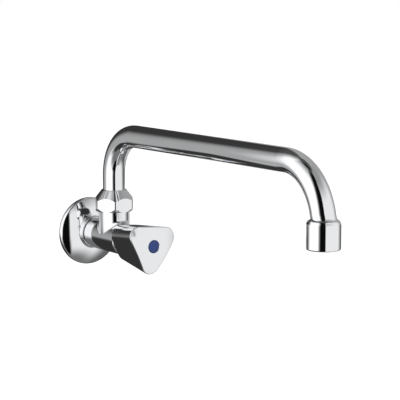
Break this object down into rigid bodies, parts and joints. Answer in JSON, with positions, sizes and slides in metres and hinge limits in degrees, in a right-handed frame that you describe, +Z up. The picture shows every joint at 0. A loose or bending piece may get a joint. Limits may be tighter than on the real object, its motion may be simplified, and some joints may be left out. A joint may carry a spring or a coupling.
{
  "type": "wall faucet",
  "caption": "Wall-mounted single-inlet tap with a domed flange, a three-cornered handle and a swivel spout bent into a broad arch with an aerator.",
  "frame": {"origin": "centre of the wall flange's back, on the wall's surface and on the valve's axis", "axes": "+Y into the wall along the inlet, -Y towards the user along the valve body, +Z up, +X to the right as seen from the front"},
  "size_m": [0.0566, 0.3461, 0.1228],
  "materials": {
    "polished_chrome": "mirror-polished chrome plate",
    "brass": "machined brass",
    "stainless_steel": "plain stainless steel",
    "black_rubber": "moulded nitrile rubber",
    "red_fibre": "pressed fibre",
    "white_plastic": "moulded acetal",
    "blue_plastic": "glossy moulded blue"
  },
  "bodies": {
    "tap_body": {"wall_flange": "polished_chrome", "flange_o_ring": "black_rubber", "valve_body": "polished_chrome", "bonnet": "brass", "bonnet_gasket": "red_fibre", "lower_slide_ring": "white_plastic", "union_nut": "polished_chrome", "upper_slide_ring": "white_plastic"},
    "handle_set": {"handle": "polished_chrome", "handle_insert": "white_plastic", "handle_screw": "stainless_steel", "index_cap": "blue_plastic", "spindle": "brass", "spindle_o_rings": "black_rubber", "spindle_clip": "stainless_steel"},
    "piston_set": {"valve_piston": "brass", "valve_washer": "black_rubber", "washer_screw": "stainless_steel"},
    "spout": {"spout_tube": "polished_chrome", "spout_guide": "brass", "spout_o_rings": "black_rubber", "spout_outlet": "polished_chrome", "aerator_housing": "polished_chrome", "aerator_gasket": "black_rubber", "aerator_insert": "white_plastic", "aerator_screens": "stainless_steel"}
  },
  "joints": [
    {"name": "handle_turn", "type": "hinge", "parent": "tap_body", "child": "handle_set", "pos_m": [0, -0.08, 0], "axis": [0, -1, 0], "range_deg": [0, 900]},
    {"name": "piston_slide", "type": "slide", "parent": "tap_body", "child": "piston_set", "axis": [0, -1, 0], "range_m": [0, 0.005]},
    {"name": "spout_swivel", "type": "hinge", "parent": "tap_body", "child": "spout", "pos_m": [0, -0.0417, 0.025], "axis": [0, 0, 1], "range_deg": [-90, 90]}
  ],
  "couplings": [
    {"joint": "piston_slide", "follows": "handle_turn", "m_per_rad": 0.00031831}
  ]
}
